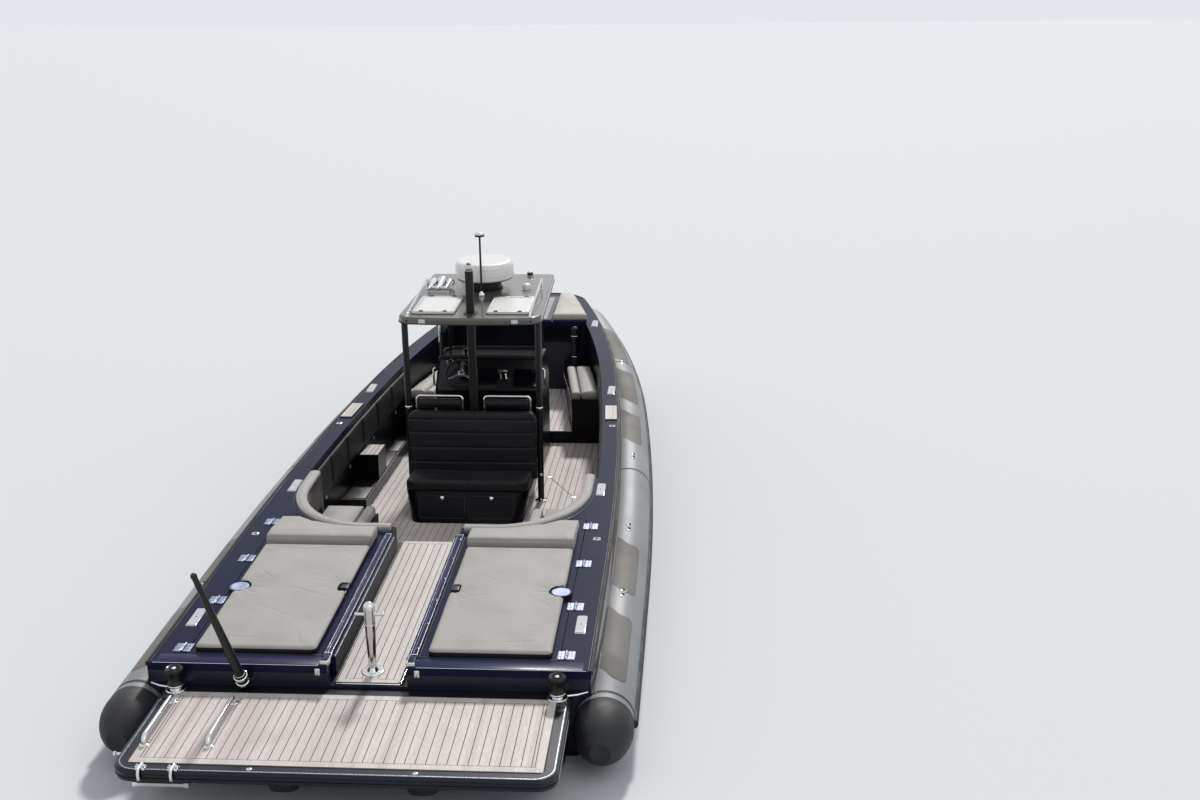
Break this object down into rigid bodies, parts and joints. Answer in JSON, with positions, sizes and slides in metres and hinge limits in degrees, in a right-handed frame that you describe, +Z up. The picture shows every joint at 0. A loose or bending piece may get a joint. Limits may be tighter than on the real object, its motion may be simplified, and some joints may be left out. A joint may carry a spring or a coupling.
{
  "type": "rigid inflatable boat with hardtop, sunpads and twin stern drives",
  "caption": "Large rigid inflatable boat: V hull, banded grey tubes, swim platform, walkway between sunpad hatches, helm console under a hardtop, padded bow.",
  "frame": {"origin": "on the centreline at the waterline, under the transom's aft face", "axes": "+Y forward along the boat, +X to starboard, +Z up"},
  "size_m": [4.014, 12.767, 3.8949],
  "materials": {
    "navy_gelcoat": "deep navy gloss gelcoat",
    "hull_gelcoat": "navy gloss gelcoat, lighter below the chine",
    "tube_fabric": "light grey coated tube fabric with mid-grey wavy bands",
    "black_fabric": "black coated tube fabric",
    "black_rubber": "matt black rubber",
    "teak": "pale grey-pink synthetic teak with dark caulking lines",
    "pad": "warm grey upholstery",
    "cream_pad": "cream-grey upholstery",
    "black_leather": "black upholstery",
    "chrome": "polished stainless steel",
    "black_metal": "black painted metal",
    "roof_paint": "taupe grey gloss",
    "white": "white gloss",
    "glass": "dark tinted glass",
    "black_gloss": "black gloss moulding",
    "engine_grey": "plain engine block",
    "drive_paint": "dark grey cast drive leg",
    "bronze": "polished propeller alloy"
  },
  "bodies": {
    "boat": {"bench_cushion": "black_leather", "boarding_ladder": "chrome", "bow_seats": "black_gloss", "bulwark_pads": "black_leather", "capstan_feet": "chrome", "coaming_rolls": "cream_pad", "console": "black_gloss", "corner_cushions": "pad", "corner_seats": "black_gloss", "deck_aft": "navy_gelcoat", "deck_fittings": "chrome", "drive_shields": "drive_paint", "engines": "engine_grey", "flagstaff": "black_metal", "foredeck": "navy_gelcoat", "foredeck_cushions": "cream_pad", "foredeck_panel": "teak", "forward_cushions": "pad", "gunwale_steps": "teak", "hardtop": "roof_paint", "hardtop_legs": "black_metal", "helm_seats": "black_leather", "hull_aft": "hull_gelcoat", "hull_forward": "hull_gelcoat", "hull_middle": "hull_gelcoat", "mast": "black_metal", "platform_brackets": "black_metal", "platform_frame": "navy_gelcoat", "platform_rails": "chrome", "platform_teak": "teak", "port_locker": "black_gloss", "radar_dome": "white", "roof_fittings": "chrome", "rub_strakes": "black_rubber", "seat_back": "black_leather", "seat_frames": "chrome", "seat_module": "black_gloss", "side_decks": "navy_gelcoat", "ski_pole": "chrome", "sole_teak": "teak", "throttle": "chrome", "topsides": "black_gloss", "tube_ends": "black_fabric", "tube_port": "tube_fabric", "tube_starboard": "tube_fabric", "walkway_teak": "teak", "windscreen": "glass"},
    "drive_starboard": {"drive_starboard": "drive_paint"},
    "drive_port": {"drive_port": "drive_paint"},
    "propeller_starboard": {"propeller_starboard": "bronze"},
    "propeller_port": {"propeller_port": "bronze"},
    "helm": {"steering_wheel": "black_leather"},
    "hatch_starboard": {"hatch_starboard": "navy_gelcoat", "sunpad_starboard": "pad"},
    "hatch_port": {"hatch_port": "navy_gelcoat", "sunpad_port": "pad"},
    "roof_hatch_starboard": {"roof_hatch_starboard": "white"},
    "roof_hatch_port": {"roof_hatch_port": "white"},
    "capstan_starboard": {"capstan_starboard": "black_metal"},
    "capstan_port": {"capstan_port": "black_metal"}
  },
  "joints": [
    {"name": "steer_starboard", "type": "hinge", "parent": "boat", "child": "drive_starboard", "pos_m": [0.5, -0.15, 0], "axis": [0, 0, 1], "range_deg": [-28, 28]},
    {"name": "steer_port", "type": "hinge", "parent": "boat", "child": "drive_port", "pos_m": [-0.5, -0.15, 0], "axis": [0, 0, 1], "range_deg": [-28, 28]},
    {"name": "helm_wheel", "type": "hinge", "parent": "boat", "child": "helm", "pos_m": [-0.3, 6.44643, 1.3236], "axis": [0, 0.6691, -0.7431], "range_deg": [-280, 280]},
    {"name": "propeller_starboard_spin", "type": "hinge", "parent": "drive_starboard", "child": "propeller_starboard", "pos_m": [0.5, -0.88, -0.63], "axis": [0, 1, 0], "continuous": true},
    {"name": "propeller_port_spin", "type": "hinge", "parent": "drive_port", "child": "propeller_port", "pos_m": [-0.5, -0.88, -0.63], "axis": [0, 1, 0], "continuous": true},
    {"name": "hatch_starboard_lift", "type": "hinge", "parent": "boat", "child": "hatch_starboard", "pos_m": [1.457, 1.39706, 0.77101], "axis": [0, 0.9982, 0.0593], "range_deg": [0, 75]},
    {"name": "hatch_port_lift", "type": "hinge", "parent": "boat", "child": "hatch_port", "pos_m": [-1.457, 1.39706, 0.77101], "axis": [0, -0.9982, -0.0593], "range_deg": [0, 75]},
    {"name": "roof_hatch_starboard_lift", "type": "hinge", "parent": "boat", "child": "roof_hatch_starboard", "pos_m": [0.3975, 5.99544, 2.28369], "axis": [-1, 0, 0], "range_deg": [0, 60]},
    {"name": "roof_hatch_port_lift", "type": "hinge", "parent": "boat", "child": "roof_hatch_port", "pos_m": [-0.3975, 5.99544, 2.28369], "axis": [-1, 0, 0], "range_deg": [0, 60]},
    {"name": "capstan_starboard_spin", "type": "hinge", "parent": "boat", "child": "capstan_starboard", "pos_m": [1.42, -0.09009, 0.59451], "axis": [0, -0.0593, 0.9982], "continuous": true},
    {"name": "capstan_port_spin", "type": "hinge", "parent": "boat", "child": "capstan_port", "pos_m": [-1.42, -0.09009, 0.59451], "axis": [0, -0.0593, 0.9982], "continuous": true}
  ],
  "couplings": [
    {"joint": "steer_port", "follows": "steer_starboard", "ratio": 1},
    {"joint": "helm_wheel", "follows": "steer_starboard", "ratio": 10}
  ]
}
